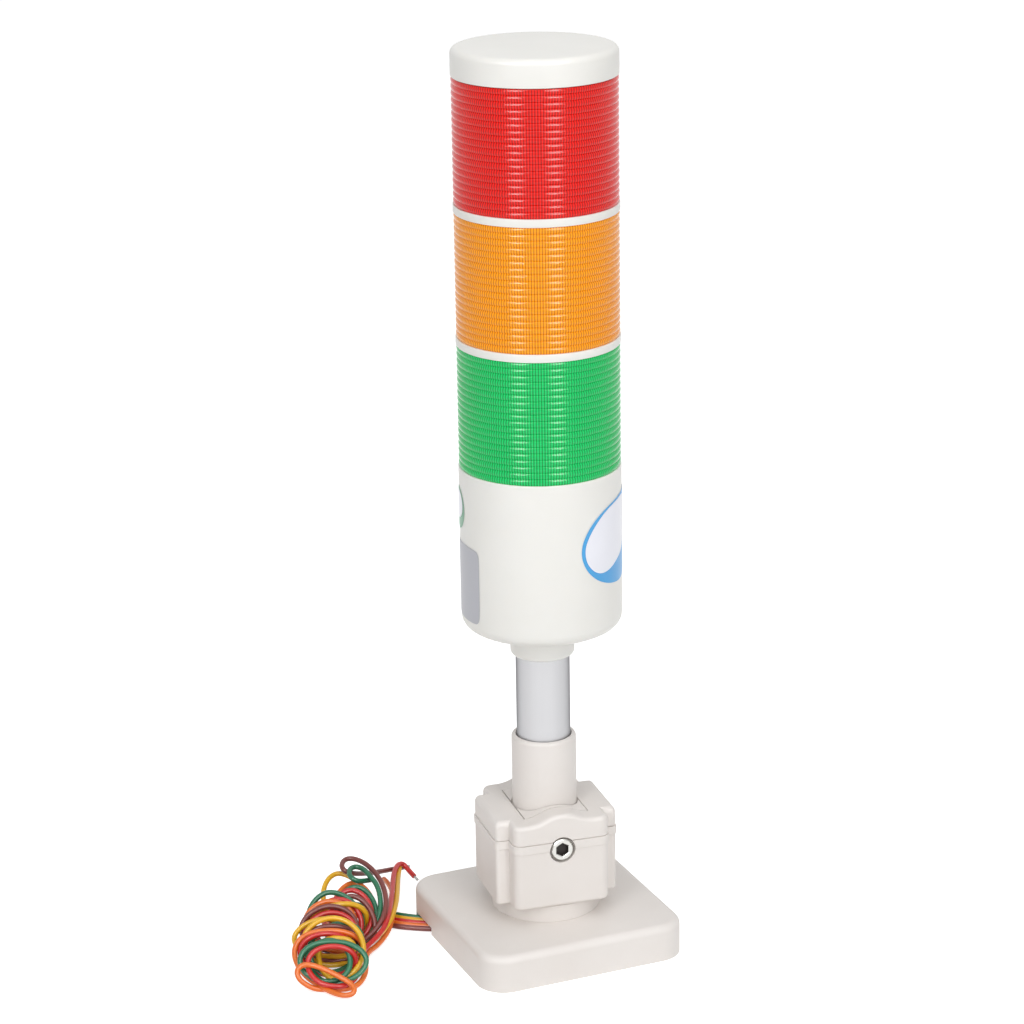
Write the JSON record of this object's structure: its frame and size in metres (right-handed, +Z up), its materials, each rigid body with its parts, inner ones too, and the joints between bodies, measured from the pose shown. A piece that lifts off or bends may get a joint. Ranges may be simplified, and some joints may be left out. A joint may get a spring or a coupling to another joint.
{
  "type": "machine stack light",
  "caption": "Cylindrical machine signal tower with red, amber and green ribbed lenses, white buzzer housing, aluminium pole, folding hinge foot, square turning base and coiled flying leads.",
  "frame": {"origin": "middle of the base's underside, on the mounting surface", "axes": "+Z up along the upright mast; X and Y square to the sides of the base; the leads leave through the -X side; the bolt of the hinge lies 6 degrees clockwise of Y, seen from above"},
  "size_m": [0.1235, 0.0967, 0.2882],
  "materials": {
    "foot_plastic": "satin warm grey-white moulded plastic",
    "lamp_plastic": "satin white moulded plastic",
    "steel": "zinc-plated steel",
    "brass": "plain machined brass",
    "aluminium": "satin anodised aluminium tube",
    "gasket_rubber": "black foam rubber",
    "circuit_board": "green coated fibreglass board",
    "white_board": "white coated board",
    "component_black": "black moulded component bodies",
    "led_body": "white light source bodies with clear faces",
    "lens_green": "translucent green ribbed plastic",
    "lens_amber": "translucent amber ribbed plastic",
    "lens_red": "translucent red ribbed plastic",
    "wire_brown": "soft brown insulation",
    "wire_orange": "soft orange insulation",
    "wire_red": "soft red insulation",
    "wire_yellow": "soft yellow insulation",
    "wire_green": "soft green insulation",
    "tinned_wire": "tinned stranded ends"
  },
  "bodies": {
    "base": {"base_plate": "foot_plastic", "base_cover": "foot_plastic", "cover_screws": "steel", "mount_inserts": "brass", "lead_brown": "wire_brown", "lead_orange": "wire_orange", "lead_red": "wire_red", "lead_yellow": "wire_yellow", "lead_green": "wire_green", "lead_hank": "wire_red", "lead_tips": "tinned_wire"},
    "turret": {"turret": "foot_plastic", "turret_washer": "steel", "turret_nut": "steel", "turret_screws": "steel", "hinge_body": "foot_plastic", "hinge_bolt": "steel", "hinge_nut": "steel"},
    "mast": {"tilt_arm": "foot_plastic", "mast_pole": "aluminium", "pole_screw": "steel", "housing": "lamp_plastic", "pole_nut": "steel", "driver_board": "circuit_board", "driver_parts": "component_black", "buzzer": "component_black", "lens_green": "lens_green", "lens_amber": "lens_amber", "lens_red": "lens_red", "ring_lower": "lamp_plastic", "ring_upper": "lamp_plastic", "led_column_green": "white_board", "led_column_amber": "white_board", "led_column_red": "white_board", "leds_green": "led_body", "leds_amber": "led_body", "leds_red": "led_body", "top_plate": "lamp_plastic", "top_cap": "lamp_plastic", "cap_gasket": "gasket_rubber", "tie_rods": "steel", "tie_nuts": "steel"},
    "lid": {"hinge_lid": "foot_plastic"}
  },
  "joints": [
    {"name": "turret_turn", "type": "hinge", "parent": "base", "child": "turret", "pos_m": [0, 0, 0.012], "axis": [0, 0, 1], "range_deg": [-90, 90]},
    {"name": "arm_tilt", "type": "hinge", "parent": "turret", "child": "mast", "pos_m": [0, 0, 0.0371], "axis": [0.1045, 0.9945, 0], "range_deg": [0, 90]},
    {"name": "lid_lift", "type": "slide", "parent": "mast", "child": "lid", "axis": [0, 0, 1], "range_m": [0, 0.034]}
  ],
  "couplings": [
    {"joint": "lid_lift", "follows": "arm_tilt", "m_per_rad": 0.0215}
  ]
}
